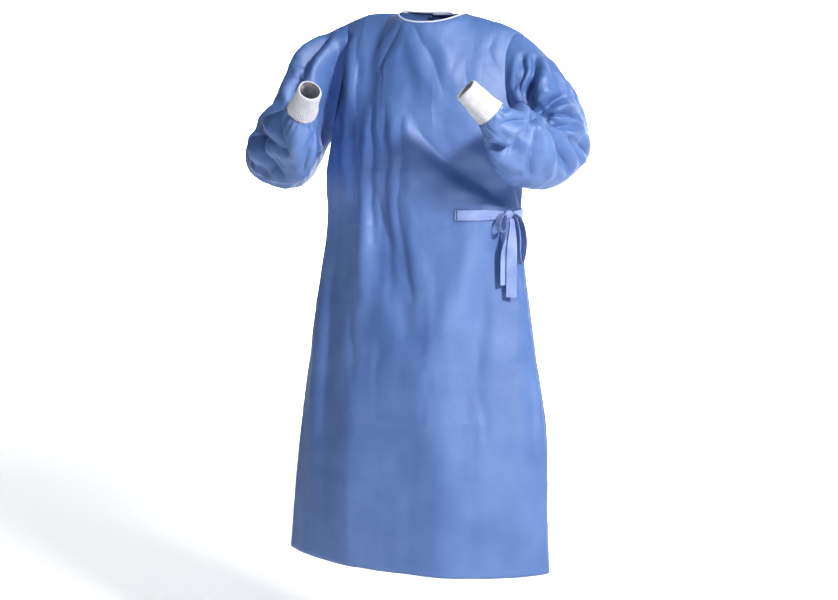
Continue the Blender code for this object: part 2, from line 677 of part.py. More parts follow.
def grid_place(wall, row, column, lift):
    """A point on a panel's outer side, at fractions of its rows and columns, moved out."""
    grid, normals = wall
    place = np.zeros(3)
    out = np.zeros(3)
    low, left = int(row), min(int(column), grid.shape[1] - 2)
    for r, share_r in ((low, 1.0 - (row - low)), (low + 1, row - low)):
        for c, share_c in ((left, 1.0 - (column - left)), (left + 1, column - left)):
            place += share_r * share_c * grid[r, c]
            out += share_r * share_c * normals[r, c]
    return place + lift * unit(out)


def flat_section(walls, key, column, lift, width):
    """The four corners of a waist tie where it lies on a panel."""
    corners = []
    for half, extra in ((-0.5, 0.0), (-0.5, TIE_WALL), (0.5, TIE_WALL), (0.5, 0.0)):
        row = np.interp(TIE_Z + half * width, skirt_heights(), np.arange(SKIRT_ROWS + 1))
        corners.append(grid_place(walls[key], row, column, lift + extra))
    return corners


def build_waist_ties(walls, finish):
    """The front tie, and the back tie led round the side, both ending at the knot."""
    reach = KNOT_RADII[0] + KNOT_SEAT
    row = np.interp(TIE_Z, skirt_heights(), np.arange(SKIRT_ROWS + 1))
    beside = [grid_place(walls["front"], row, KNOT_COLUMN + step, 0.0) for step in (0.0, 1.0)]
    pitch = np.linalg.norm(beside[1] - beside[0])
    ends = (KNOT_COLUMN - reach / pitch, KNOT_COLUMN + reach / pitch)
    front = []
    for t in np.linspace(0.0, 1.0, TIE_STEPS):
        near = np.clip(3.0 * t - 2.0, 0.0, 1.0)
        column = TIE_START_COLUMN + (ends[0] - TIE_START_COLUMN) * t
        width = TIE_WIDTH * (1.0 - (1.0 - TIE_GATHER) * near)
        lift = TIE_LIFT + TIE_END_LIFT * near if t > 0.0 else TIE_SEWN_LIFT
        front.append(flat_section(walls, "front", column, lift, width))
    make_bar("waist_tie_front", front, finish)
    last = walls["front"][0].shape[1] - 1
    edge = over_fractions(TIE_Z)[-1] * last
    starts = np.linspace(TIE_OVERLAP_COLUMNS, TIE_EDGE_COLUMNS, TIE_TURN_STEPS)
    stops = [("over", column, TIE_LIFT) for column in starts]
    stops[0] = ("over", starts[0], TIE_SEWN_LIFT)
    for t in np.linspace(0.0, 1.0, TIE_STEPS):
        drop = np.clip(2.5 * t, 0.0, 1.0)
        lift = TIE_LIFT + (OVER_LIFT + SEAM) * (1.0 - drop)
        stops.append(("under", (edge - 2 * TIE_EDGE_COLUMNS) * (1.0 - t), lift))
    for t in np.arange(1, TIE_TURN_STEPS + 1) / TIE_TURN_STEPS:
        stops.append(("front", last + (ends[1] - last) * t, TIE_LIFT + TIE_END_LIFT * t))
    back = []
    for key, column, lift in stops:
        near = np.clip((lift - TIE_LIFT) / TIE_END_LIFT, 0.0, 1.0) if key == "front" else 0.0
        width = TIE_WIDTH * (1.0 - (1.0 - TIE_GATHER) * near)
        back.append(flat_section(walls, key, column, lift, width))
    make_bar("waist_tie_back", back, finish)


def knot_frame(walls):
    """Middle of the knot and its right, out and up directions."""
    row = np.interp(TIE_Z, skirt_heights(), np.arange(SKIRT_ROWS + 1))
    foot = grid_place(walls["front"], row, KNOT_COLUMN, 0.0)
    out = unit((grid_place(walls["front"], row, KNOT_COLUMN, 1.0) - foot) * (1.0, 1.0, 0.0))
    right = np.cross((0.0, 0.0, 1.0), out)
    centre = foot + out * (KNOT_RADII[1] + KNOT_CLEAR)
    return centre, np.array((right, out, (0.0, 0.0, 1.0)))


def build_knot(walls, finish):
    """The tight knot of the bow."""
    centre, frame = knot_frame(walls)
    bm = bmesh.new()
    bmesh.ops.create_uvsphere(bm, u_segments=KNOT_SIDES, v_segments=KNOT_RINGS, radius=1.0)
    for vert in bm.verts:
        vert.co = centre + (np.array(vert.co) * KNOT_RADII) @ frame
    make_object("bow_knot", bm, finish)


def build_ribbon(walls, ribbon, finish):
    """A free ribbon of the bow, gathered where it leaves the knot."""
    centre, frame = knot_frame(walls)
    path = smooth_rings(np.array(ribbon.path)[:, None, :], RIBBON_STEPS)[:, 0, :]
    tangents = unit(np.gradient(path, axis=0))
    looped = "loop" in ribbon.name
    sections = []
    for number, (point, tangent) in enumerate(zip(path, tangents)):
        from_knot = min(number, len(path) - 1 - number) if looped else number
        width = ribbon.width * (TIE_GATHER + (1.0 - TIE_GATHER) * min(from_knot / 3.0, 1.0))
        turned = np.clip((number - RIBBON_TURN_FROM) / RIBBON_TURN_OVER, 0.0, 1.0)
        across = np.array(ribbon.across) * (1.0 - turned) + np.array(ribbon.across_end) * turned
        across = unit(across - (across @ tangent) * tangent) * width / 2.0
        face = unit(np.cross(tangent, across)) * TIE_WALL / 2.0
        corners = (point - across - face, point + across - face, point + across + face, point - across + face)
        sections.append([centre + corner @ frame for corner in corners])
    make_bar(ribbon.name, sections, finish)


def main():
    for thing in list(bpy.data.objects):
        bpy.data.objects.remove(thing, do_unlink=True)
    cloth = make_finish("nonwoven_blue", CLOTH_BLUE, 0.62)
    knit = make_finish("knit_white", KNIT_WHITE, 0.9)
    binding = make_finish("binding_pale", BINDING_PALE, 0.7)
    tape = make_finish("tie_pale_blue", TIE_BLUE, 0.6)
    walls = build_body_and_sleeves(cloth)
    build_cuff(1, "cuff_left", knit)
    build_cuff(-1, "cuff_right", knit)
    build_binding(walls, binding)
    build_waist_ties(walls, tape)
    build_knot(walls, tape)
    for ribbon in RIBBONS:
        build_ribbon(walls, ribbon, tape)


main()
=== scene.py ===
from collections import namedtuple
from math import cos, pi, radians, sin

import bmesh
import bpy
import numpy as np
from mathutils import Matrix, Vector, noise
from mathutils.bvhtree import BVHTree
from mathutils.kdtree import KDTree


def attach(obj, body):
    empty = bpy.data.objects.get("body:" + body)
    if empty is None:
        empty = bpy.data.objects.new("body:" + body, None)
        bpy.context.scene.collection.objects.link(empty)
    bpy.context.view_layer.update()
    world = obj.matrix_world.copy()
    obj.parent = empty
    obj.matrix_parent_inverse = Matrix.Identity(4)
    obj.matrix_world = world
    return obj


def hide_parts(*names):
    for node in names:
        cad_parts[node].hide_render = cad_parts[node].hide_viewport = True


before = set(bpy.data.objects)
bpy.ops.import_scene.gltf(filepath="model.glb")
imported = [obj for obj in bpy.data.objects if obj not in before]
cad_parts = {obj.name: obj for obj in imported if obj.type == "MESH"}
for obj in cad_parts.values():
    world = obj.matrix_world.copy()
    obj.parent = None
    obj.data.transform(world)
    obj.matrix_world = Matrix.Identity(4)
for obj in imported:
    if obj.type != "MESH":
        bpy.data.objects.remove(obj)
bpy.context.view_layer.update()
scene = bpy.context.scene
scene.view_settings.view_transform = "Standard"
scene.view_settings.look = "Medium High Contrast"

# Camera: a little to the wearer's left of the front, a little above
PHOTO_SIZE = (838, 600)
VIEW_TARGET = Vector((0.0, -0.05, -0.60))
VIEW_TARGET_PIXEL = (425.0, 294.6)
VIEW_AZIMUTH = radians(18.0)
VIEW_ELEVATION = radians(6.0)
VIEW_DISTANCE = 3.1
FOCAL_PIXELS = 1452.0
SENSOR = 36.0

# Cloth, in metres
SHELL = 0.0007
WELD = 0.0026
WALL_ANGLE = radians(50.0)
UNDERARM_Z = -0.258
FINE_ABOVE = (-0.46, -0.40, -0.42)
SEAM_DEPTH = 0.0012

# The body's pieces and sleeves, with the node each stands for and where its outer side looks
Piece = namedtuple("Piece", "name node looks flat area")
PIECES = (
    Piece("cloth_front", "gown_front", (0, -1, 0), (0.70, 1.20), 0.665),
    Piece("cloth_back_under", "gown_back_under", (0, 1, 0), (0.36, 1.20), 0.355),
    Piece("cloth_back_over", "gown_back_over", (0, 1, 0), (0.56, 1.20), 0.475),
    Piece("cloth_sleeve_left", "sleeve_left", (1, 0, 0), (0.46, 0.58), 0.210),
    Piece("cloth_sleeve_right", "sleeve_right", (-1, 0, 0), (0.50, 0.62), 0.250),
)
FRONT, BACK_UNDER, BACK_OVER, SLEEVE_LEFT, SLEEVE_RIGHT = range(5)

# One row for each crease: its path, how far it stands out (sinks in, below zero) and
# half its width, both in millimetres. On the body a path is in X and Z.
Crease = namedtuple("Crease", "path depth width")
FRONT_CREASES = (
    # from the neck and the shoulders down over the chest
    Crease(((-0.046, -0.029), (-0.057, -0.060), (-0.073, -0.091), (-0.088, -0.122)), -5.0, 7),
    Crease(((-0.015, -0.039), (0.013, -0.077), (0.035, -0.112), (0.051, -0.145), (0.060, -0.174)), -7.0, 11),
    Crease(((0.043, -0.035), (0.053, -0.088), (0.058, -0.139), (0.055, -0.186)), 4.0, 10),
    Crease(((0.065, -0.037), (0.074, -0.087), (0.074, -0.129)), -3.0, 8),
    Crease(((0.143, -0.060), (0.140, -0.083), (0.152, -0.108), (0.165, -0.133)), -4.0, 7),
    Crease(((0.163, -0.059), (0.170, -0.082), (0.174, -0.108)), -3.0, 6),
    Crease(((-0.190, -0.060), (-0.190, -0.110), (-0.192, -0.160), (-0.196, -0.215), (-0.198, -0.265)), -26.0, 12),
    Crease(((-0.172, -0.070), (-0.169, -0.123), (-0.152, -0.188)), 4.0, 8),
    Crease(((-0.136, -0.050), (-0.127, -0.093), (-0.121, -0.136)), 3.0, 8),
    Crease(((-0.154, -0.060), (-0.145, -0.103), (-0.135, -0.146)), -3.0, 8),
    Crease(((0.098, -0.108), (0.107, -0.160), (0.098, -0.211)), -3.0, 8),
    Crease(((-0.150, -0.055), (-0.152, -0.110), (-0.158, -0.190)), 17.0, 18),
    Crease(((-0.030, -0.260), (-0.016, -0.340), (-0.004, -0.450), (0.014, -0.610)), 14.0, 22),
    # the pull from the chest to the bow, with the hollow under the arm
    Crease(((-0.028, -0.225), (-0.003, -0.276), (0.031, -0.319), (0.075, -0.354), (0.115, -0.378),
            (0.148, -0.401), (0.166, -0.422)), 10.0, 8),
    Crease(((0.008, -0.251), (0.045, -0.292), (0.088, -0.329), (0.127, -0.358), (0.157, -0.391)), -13.0, 15),
    # folds that hang from the chest
    Crease(((-0.101, -0.203), (-0.097, -0.272), (-0.103, -0.355), (-0.098, -0.482)), -5.0, 7),
    Crease(((-0.065, -0.202), (-0.058, -0.293), (-0.066, -0.397), (-0.052, -0.605)), -5.0, 8),
    Crease(((-0.030, -0.227), (-0.020, -0.292), (-0.037, -0.396), (-0.021, -0.521), (-0.004, -0.604)), -6.0, 8),
    Crease(((-0.082, -0.210), (-0.080, -0.293), (-0.082, -0.376)), 3.0, 7),
    Crease(((-0.120, -0.251), (-0.126, -0.377), (-0.115, -0.608)), 5.0, 8),
    Crease(((-0.047, -0.231), (-0.050, -0.459), (-0.035, -0.622)), 5.0, 9),
    Crease(((-0.090, -0.376), (-0.045, -0.501), (-0.001, -0.604)), -5.0, 10),
    Crease(((-0.040, -0.355), (-0.006, -0.479), (0.039, -0.619)), 5.0, 9),
    Crease(((-0.194, -0.229), (-0.192, -0.400), (-0.212, -0.639), (-0.225, -0.835), (-0.232, -0.922)), -9.0, 14),
    Crease(((-0.118, -0.293), (-0.121, -0.398), (-0.116, -0.503), (-0.108, -0.608)), 4.0, 10),
    # skirt
    Crease(((-0.149, -0.632), (-0.142, -0.717), (-0.141, -0.797)), -3.0, 6),
    Crease(((-0.080, -0.691), (-0.081, -0.743), (-0.085, -0.786)), -2.5, 6),
    Crease(((0.034, -0.740), (0.036, -0.765), (0.040, -0.800)), -2.5, 6),
    Crease(((0.028, -0.805), (0.031, -0.868)), -2.0, 6),
    Crease(((0.135, -0.794), (0.147, -0.835), (0.157, -0.893)), -3.5, 7),
    Crease(((0.039, -0.623), (0.054, -0.725), (0.068, -0.974), (0.089, -1.143)), 4.0, 22),
    Crease(((0.177, -0.479), (0.200, -0.667), (0.231, -0.898)), 4.0, 20),
    Crease(((0.130, -0.447), (0.131, -0.644), (0.130, -0.769)), -3.0, 10),
)
BACK_CREASES = (
    Crease(((-0.150, -0.090), (-0.110, -0.180), (-0.060, -0.250)), -6.0, 10),
    Crease(((-0.170, -0.170), (-0.120, -0.260), (-0.050, -0.310)), 5.0, 9),
    Crease(((0.070, -0.060), (0.040, -0.160), (0.050, -0.300)), 4.0, 10),
    Crease(((0.130, -0.100), (0.095, -0.200), (0.060, -0.340)), -5.0, 9),
    Crease(((-0.020, -0.050), (-0.030, -0.150), (-0.010, -0.260)), -3.0, 9),
    Crease(((0.150, -0.410), (0.050, -0.370), (-0.050, -0.350), (-0.150, -0.290)), 6.0, 10),
    Crease(((0.150, -0.440), (0.030, -0.430), (-0.100, -0.420)), -5.0, 10),
    Crease(((0.120, -0.470), (0.050, -0.560), (0.030, -0.700)), -5.0, 10),
    Crease(((0.080, -0.470), (0.000, -0.600), (-0.020, -0.820)), 5.0, 11),
    Crease(((-0.060, -0.460), (-0.080, -0.640), (-0.070, -0.900)), -5.0, 12),
    Crease(((-0.130, -0.430), (-0.160, -0.620), (-0.180, -0.850)), 5.0, 12),
    Crease(((-0.190, -0.400), (-0.220, -0.600), (-0.250, -0.900)), -6.0, 14),
    Crease(((0.150, -0.560), (0.170, -0.720), (0.190, -0.920)), 4.0, 14),
    Crease(((-0.020, -0.800), (-0.010, -0.950), (0.010, -1.120)), -3.0, 16),
    Crease(((-0.120, -0.860), (-0.130, -1.000), (-0.150, -1.150)), 3.0, 18),
)
# Folds on the sides of the body, paths in space: above and below the waist tie, then the skirt
SIDE_CREASES = (
    Crease(((0.200, -0.030, -0.445), (0.220, -0.035, -0.520), (0.235, -0.040, -0.620)), -4.0, 7),
    Crease(((0.200, 0.020, -0.445), (0.225, 0.030, -0.560), (0.250, 0.035, -0.720)), -6.0, 9),
    Crease(((0.190, 0.060, -0.445), (0.205, 0.080, -0.530), (0.215, 0.090, -0.600)), -5.0, 7),
    Crease(((0.150, 0.085, -0.448), (0.160, 0.100, -0.510), (0.180, 0.105, -0.650)), -5.0, 8),
    Crease(((0.195, -0.020, -0.402), (0.200, -0.030, -0.350)), -4.0, 6),
    Crease(((0.190, 0.040, -0.402), (0.195, 0.050, -0.340), (0.190, 0.050, -0.290)), -5.0, 7),
    Crease(((0.160, 0.080, -0.402), (0.150, 0.085, -0.350)), -4.0, 6),
    Crease(((0.250, 0.000, -0.600), (0.270, 0.010, -0.800), (0.290, 0.010, -1.020)), 7.0, 15),
    Crease(((0.260, 0.050, -0.660), (0.280, 0.070, -0.900), (0.290, 0.080, -1.100)), -7.0, 13),
    Crease(((0.255, -0.060, -0.720), (0.275, -0.070, -0.880), (0.290, -0.080, -1.060)), -5.0, 12),
    Crease(((-0.215, 0.000, -0.420), (-0.235, 0.000, -0.560), (-0.260, 0.000, -0.740)), -6.0, 10),
    Crease(((-0.210, 0.050, -0.380), (-0.225, 0.060, -0.520), (-0.240, 0.060, -0.660)), 6.0, 10),
    Crease(((-0.205, 0.030, -0.300), (-0.205, 0.050, -0.400), (-0.190, 0.075, -0.480)), -5.0, 8),
    Crease(((-0.260, 0.030, -0.660), (-0.290, 0.040, -0.860), (-0.310, 0.040, -1.060)), 7.0, 15),
    Crease(((-0.240, 0.080, -0.600), (-0.260, 0.100, -0.820), (-0.270, 0.110, -1.050)), -7.0, 13),
)
# Sleeves: the creases spread from the crook of each bent elbow
LEFT_CREASES = (
    # the pinched crook, seen on the top of the forearm and on the upper arm behind it
    Crease(((0.268, -0.165, -0.225), (0.264, -0.192, -0.229)), -13.0, 10),
    Crease(((0.232, -0.069, -0.150), (0.234, -0.078, -0.200)), -10.0, 9),
    Crease(((0.236, -0.035, -0.100), (0.233, -0.060, -0.140), (0.230, -0.072, -0.190)), -10.0, 8),
    Crease(((0.212, -0.045, -0.100), (0.214, -0.060, -0.145), (0.218, -0.070, -0.190)), -8.0, 8),
    Crease(((0.224, -0.040, -0.105), (0.223, -0.064, -0.160), (0.224, -0.072, -0.190)), 6.0, 6),
    Crease(((0.248, -0.050, -0.120), (0.262, -0.060, -0.165), (0.262, -0.078, -0.205)), 6.0, 8),
    Crease(((0.255, -0.078, -0.214), (0.285, -0.072, -0.198), (0.298, -0.045, -0.180)), -10.0, 8),
    Crease(((0.270, -0.078, -0.210), (0.308, -0.036, -0.206), (0.326, 0.000, -0.200)), 6.0, 7),
    Crease(((0.265, -0.080, -0.224), (0.307, -0.048, -0.223), (0.337, -0.010, -0.222)), -9.0, 6),
    Crease(((0.284, -0.125, -0.238), (0.305, -0.068, -0.242), (0.330, -0.020, -0.242)), -8.0, 7),
    Crease(((0.280, -0.110, -0.232), (0.305, -0.060, -0.232), (0.334, -0.015, -0.232)), 5.0, 6),
    Crease(((0.284, -0.142, -0.244), (0.304, -0.099, -0.292), (0.312, -0.058, -0.340)), -9.0, 9),
    Crease(((0.282, -0.160, -0.255), (0.289, -0.141, -0.300), (0.285, -0.110, -0.348)), 7.0, 8),
    Crease(((0.296, -0.095, -0.250), (0.318, -0.061, -0.282), (0.328, -0.028, -0.316)), -7.0, 7),
    Crease(((0.302, -0.085, -0.262), (0.312, -0.070, -0.300), (0.320, -0.045, -0.332)), 4.0, 7),
    Crease(((0.272, -0.182, -0.245), (0.266, -0.180, -0.290), (0.255, -0.160, -0.345)), -8.0, 8),
    Crease(((0.264, -0.190, -0.236), (0.249, -0.216, -0.264), (0.228, -0.217, -0.298)), -9.0, 9),
    Crease(((0.255, -0.210, -0.246), (0.240, -0.226, -0.268), (0.225, -0.231, -0.282)), 5.0, 7),
    Crease(((0.222, -0.255, -0.241), (0.240, -0.243, -0.238), (0.258, -0.214, -0.231)), -6.0, 7),
    Crease(((0.188, -0.234, -0.280), (0.207, -0.232, -0.287), (0.226, -0.222, -0.289)), -8.0, 7),
    Crease(((0.192, -0.215, -0.305), (0.220, -0.205, -0.318), (0.245, -0.180, -0.330)), 6.0, 10),
    Crease(((0.323, -0.053, -0.272), (0.338, -0.014, -0.290), (0.335, 0.020, -0.300)), -8.0, 8),
    Crease(((0.256, -0.013, -0.100), (0.286, -0.030, -0.149), (0.310, -0.012, -0.190)), 5.0, 12),
    Crease(((0.275, 0.010, -0.115), (0.300, 0.000, -0.150), (0.320, 0.010, -0.190)), -5.0, 9),
    # the hidden sides
    Crease(((0.250, 0.075, -0.160), (0.275, 0.090, -0.230), (0.300, 0.080, -0.300)), -8.0, 12),
    Crease(((0.290, 0.040, -0.160), (0.310, 0.055, -0.230), (0.325, 0.045, -0.290)), 6.0, 12),
    Crease(((0.262, 0.088, -0.215), (0.262, 0.095, -0.265), (0.280, 0.070, -0.330)), 5.0, 9),
    Crease(((0.235, -0.020, -0.300), (0.240, -0.060, -0.335), (0.215, -0.120, -0.335)), -7.0, 9),
    Crease(((0.225, -0.075, -0.240), (0.222, -0.110, -0.285), (0.205, -0.150, -0.310)), -7.0, 9),
    Crease(((0.218, -0.090, -0.262), (0.212, -0.125, -0.300), (0.195, -0.165, -0.318)), 5.0, 8),
)
RIGHT_CREASES = (
    Crease(((-0.226, -0.030, -0.045), (-0.238, -0.036, -0.062), (-0.256, -0.061, -0.092), (-0.265, -0.072, -0.110),
            (-0.259, -0.083, -0.140)), -10.0, 9),
    Crease(((-0.245, -0.005, -0.050), (-0.275, -0.030, -0.085), (-0.300, -0.060, -0.120)), 6.0, 10),
    Crease(((-0.196, -0.048, -0.080), (-0.204, -0.060, -0.123), (-0.207, -0.066, -0.176), (-0.217, -0.050, -0.229),
            (-0.250, 0.010, -0.290)), -21.0, 14),
    Crease(((-0.245, -0.070, -0.110), (-0.250, -0.085, -0.160), (-0.258, -0.090, -0.205)), 5.0, 8),
    Crease(((-0.325, -0.040, -0.130), (-0.335, -0.060, -0.185), (-0.355, -0.080, -0.235)), -7.0, 10),
    Crease(((-0.301, -0.066, -0.122), (-0.305, -0.089, -0.176), (-0.290, -0.105, -0.212)), 6.0, 10),
    Crease(((-0.275, -0.080, -0.130), (-0.280, -0.098, -0.175), (-0.278, -0.106, -0.205)), -6.0, 8),
    Crease(((-0.275, -0.118, -0.228), (-0.300, -0.112, -0.230)), -11.0, 10),
    Crease(((-0.379, -0.078, -0.246), (-0.330, -0.165, -0.258), (-0.276, -0.231, -0.268), (-0.236, -0.247, -0.292)),
           -10.0, 12),
    Crease(((-0.285, -0.116, -0.232), (-0.335, -0.110, -0.245), (-0.382, -0.090, -0.262)), -10.0, 9),
    Crease(((-0.290, -0.140, -0.240), (-0.330, -0.150, -0.275), (-0.350, -0.140, -0.320)), -9.0, 10),
    Crease(((-0.290, -0.128, -0.236), (-0.335, -0.128, -0.260), (-0.372, -0.110, -0.290)), 6.0, 8),
    Crease(((-0.290, -0.105, -0.215), (-0.340, -0.080, -0.212), (-0.385, -0.060, -0.225)), 6.0, 9),
    Crease(((-0.272, -0.160, -0.226), (-0.302, -0.190, -0.270), (-0.294, -0.202, -0.315), (-0.265, -0.205, -0.345)), -9.0, 10),
    Crease(((-0.250, -0.190, -0.215), (-0.270, -0.226, -0.262), (-0.245, -0.235, -0.310)), 7.0, 9),
    Crease(((-0.232, -0.220, -0.210), (-0.240, -0.248, -0.250), (-0.222, -0.246, -0.298)), -7.0, 8),
    Crease(((-0.196, -0.252, -0.226), (-0.204, -0.262, -0.262), (-0.210, -0.240, -0.318)), 7.0, 11),
    Crease(((-0.172, -0.245, -0.250), (-0.186, -0.250, -0.285), (-0.205, -0.225, -0.325)), -6.0, 8),
    Crease(((-0.366, -0.135, -0.318), (-0.312, -0.153, -0.352), (-0.230, -0.205, -0.350)), 5.0, 9),
    Crease(((-0.360, -0.120, -0.345), (-0.305, -0.135, -0.368), (-0.250, -0.175, -0.368)), -5.0, 9),
    Crease(((-0.388, -0.090, -0.272), (-0.345, -0.150, -0.296), (-0.300, -0.195, -0.318)), 6.0, 8),
    # the hidden sides
    Crease(((-0.255, 0.075, -0.150), (-0.300, 0.085, -0.225), (-0.345, 0.050, -0.300)), -8.0, 12),
    Crease(((-0.300, 0.045, -0.130), (-0.345, 0.035, -0.210), (-0.385, 0.000, -0.280)), 6.0, 12),
    Crease(((-0.280, 0.085, -0.260), (-0.320, 0.060, -0.320), (-0.340, 0.000, -0.350)), 5.0, 10),
    Crease(((-0.255, -0.030, -0.300), (-0.262, -0.080, -0.330), (-0.235, -0.140, -0.322)), -7.0, 9),
    Crease(((-0.240, -0.090, -0.240), (-0.245, -0.130, -0.285), (-0.215, -0.180, -0.300)), -7.0, 9),
    Crease(((-0.232, -0.110, -0.262), (-0.232, -0.150, -0.300), (-0.205, -0.195, -0.318)), 5.0, 8),
)

# The wrap's free edge lies close on the layer below, but for where the tie is sewn to it
EDGE_SETTLE = 0.0033
EDGE_REACH = 0.028
TIE_Z = -0.426
TIE_REACH = 0.045

# Gathers at the sleeve ends
GATHER_DEPTH = 0.0026
GATHER_LENGTH = 0.020

# Fold lines left by the packet, in metres of X and Z on the front and back
PACKET_LEVELS = (-0.110, -0.215, -0.330, -0.450, -0.566, -0.624, -0.740, -0.860, -0.980, -1.090)
PACKET_COLUMNS = (-0.215, -0.142, -0.080, 0.036, 0.132, 0.205)
PACKET_DEPTH = 0.0012
PACKET_WIDTH = 0.0055

# Cuffs: middle of the seam, way out, crook side; X outwards
Cuff = namedtuple("Cuff", "base aim crook")
CUFFS = {
    1: Cuff((0.195, -0.239, -0.222), (-0.60, -0.41, 0.68), (0.74, 0.24, 0.62)),
    -1: Cuff((0.188, -0.266, -0.214), (-0.50, -0.66, 0.56), (0.35, 0.45, 0.80)),
}
CUFF_LENGTH = 0.070
CUFF_BASE_RADIUS = 0.0315
CUFF_END_RADIUS = 0.0255
CUFF_RIBS = 44
CUFF_RIB_POINTS = 6
CUFF_ROWS = 28
CUFF_TUCK = 0.004
CUFF_THICKNESS = 0.0016


def linear(code):
    """An sRGB hex colour as linear values."""
    parts = [int(code[at:at + 2], 16) / 255.0 for at in (0, 2, 4)]
    return tuple(c / 12.92 if c <= 0.04045 else ((c + 0.055) / 1.055) ** 2.4 for c in parts) + (1.0,)


def add(tree, kind, settings=None, **links):
    """Add a shader node with its settings; links give its inputs values or sockets."""
    made = tree.nodes.new("ShaderNode" + kind)
    for name, value in (settings or {}).items():
        setattr(made, name, value)
    for name, value in links.items():
        socket = made.inputs[int(name[1:])] if name[0] == "_" else made.inputs[name.replace("_", " ")]
        if isinstance(value, bpy.types.NodeSocket):
            tree.links.new(value, socket)
        else:
            socket.default_value = value
    return made


def new_finish(name, roughness, ior=1.5, sheen=0.0):
    """A finish with its shader and the constant values that go on the shader itself."""
    finish = bpy.data.materials.new(name)
    finish.use_nodes = True
    shader = finish.node_tree.nodes["Principled BSDF"]
    shader.inputs["Roughness"].default_value = roughness
    shader.inputs["IOR"].default_value = ior
    shader.inputs["Sheen Weight"].default_value = sheen
    return finish, finish.node_tree, shader


def blotches(tree, place, scale, low, high, dark, light, detail=3.0):
    """A slow drift between two colours."""
    cloud = add(tree, "TexNoise", Vector=place, Scale=scale, Detail=detail, Roughness=0.55)
    spread = add(tree, "MapRange", Value=cloud.outputs["Fac"], From_Min=low, From_Max=high)
    mixed = add(tree, "Mix", {"data_type": "RGBA"}, Factor=spread.outputs[0], _6=dark, _7=light)
    return mixed.outputs[2]


def nonwoven(name, dark, light):
    """Spunbond polypropylene: dull with a faint gloss, point bonded, a little crumpled."""
    finish, tree, shader = new_finish(name, 0.58, sheen=0.04)
    shader.inputs["Specular IOR Level"].default_value = 1.0
    place = add(tree, "TexCoord").outputs["Object"]
    colour = blotches(tree, place, 7.0, 0.35, 0.65, linear(dark), linear(light))
    tree.links.new(colour, shader.inputs["Base Color"])
    # bond points 1.6 mm apart in the real cloth, drawn 2.4 mm apart so that they show
    bonds = add(tree, "TexVoronoi", {"feature": "F1"}, Vector=place, Scale=1.0 / 0.0024)
    fibres = add(tree, "TexNoise", Vector=place, Scale=1.0 / 0.0011, Detail=2.0)
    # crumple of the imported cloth, patches 30 mm and 11 mm across
    patches = add(tree, "TexVoronoi", {"feature": "DISTANCE_TO_EDGE"}, Vector=place, Scale=1.0 / 0.055)
    crumple = add(tree, "TexNoise", Vector=place, Scale=1.0 / 0.028, Detail=4.0, Distortion=0.6)
    facets = add(tree, "Bump", Strength=0.10, Distance=0.006, Height=patches.outputs["Distance"])
    rough = add(tree, "Bump", Strength=0.22, Distance=0.004, Height=crumple.outputs["Fac"],
                Normal=facets.outputs["Normal"])
    weft = add(tree, "Bump", Strength=0.25, Distance=0.0003, Height=fibres.outputs["Fac"],
               Normal=rough.outputs["Normal"])
    dots = add(tree, "Bump", Strength=0.35, Distance=0.0004, Height=bonds.outputs["Distance"],
               Normal=weft.outputs["Normal"])
    tree.links.new(dots.outputs["Normal"], shader.inputs["Normal"])
    return finish


def knit(name):
    """Polyester rib knit: white, soft and matt, with rows of loops 1.2 mm apart."""
    finish, tree, shader = new_finish(name, 0.85, sheen=0.3)
    place = add(tree, "TexCoord").outputs["UV"]
    sized = add(tree, "Mapping", Vector=place, Scale=(CUFF_RIBS * 2.0, CUFF_LENGTH / 0.0012, 1.0))
    loops = add(tree, "TexWave", {"bands_direction": "Y"}, Vector=sized.outputs[0], Scale=0.5, Distortion=1.5,
                Detail=1.0)
    fuzz = add(tree, "TexNoise", Vector=sized.outputs[0], Scale=1.2, Detail=3.0)
    colour = blotches(tree, sized.outputs[0], 0.12, 0.3, 0.7, linear("CDCED8"), linear("E2E1E6"))
    tree.links.new(colour, shader.inputs["Base Color"])
    rows = add(tree, "Bump", Strength=0.45, Distance=0.0005, Height=loops.outputs["Fac"])
    soft = add(tree, "Bump", Strength=0.30, Distance=0.0004, Height=fuzz.outputs["Fac"], Normal=rows.outputs[0])
    tree.links.new(soft.outputs["Normal"], shader.inputs["Normal"])
    return finish


def tape(name, dark, light, roughness):
    """Folded nonwoven tape: pale, a little glossier than the gown, finely creased."""
    finish, tree, shader = new_finish(name, roughness, sheen=0.08)
    place = add(tree, "TexCoord").outputs["Object"]
    colour = blotches(tree, place, 30.0, 0.35, 0.65, linear(dark), linear(light))
    tree.links.new(colour, shader.inputs["Base Color"])
    grain = add(tree, "TexNoise", Vector=place, Scale=1.0 / 0.0016, Detail=2.0)
    creases = add(tree, "TexNoise", Vector=place, Scale=1.0 / 0.012, Detail=3.0, Distortion=0.8)
    soft = add(tree, "Bump", Strength=0.35, Distance=0.0016, Height=creases.outputs["Fac"])
    fine = add(tree, "Bump", Strength=0.3, Distance=0.0003, Height=grain.outputs["Fac"], Normal=soft.outputs[0])
    tree.links.new(fine.outputs["Normal"], shader.inputs["Normal"])
    return finish


def thread(name, code):
    """Spun sewing thread: a twisted strand with a faint gloss."""
    finish, tree, shader = new_finish(name, 0.5, sheen=0.2)
    place = add(tree, "TexCoord").outputs["Object"]
    twist = add(tree, "TexNoise", Vector=place, Scale=1.0 / 0.0006, Detail=1.0)
    bump = add(tree, "Bump", Strength=0.4, Distance=0.0002, Height=twist.outputs["Fac"])
    tree.links.new(bump.outputs["Normal"], shader.inputs["Normal"])
    shader.inputs["Base Color"].default_value = linear(code)
    return finish


def new_piece(name, mesh, finish):
    """An object for a finished mesh, riding on the gown."""
    mesh.name = name
    mesh.materials.clear()
    mesh.materials.append(finish)
    mesh.shade_smooth()
    piece = bpy.data.objects.new(name, mesh)
    scene.collection.objects.link(piece)
    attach(piece, "root")
    return piece


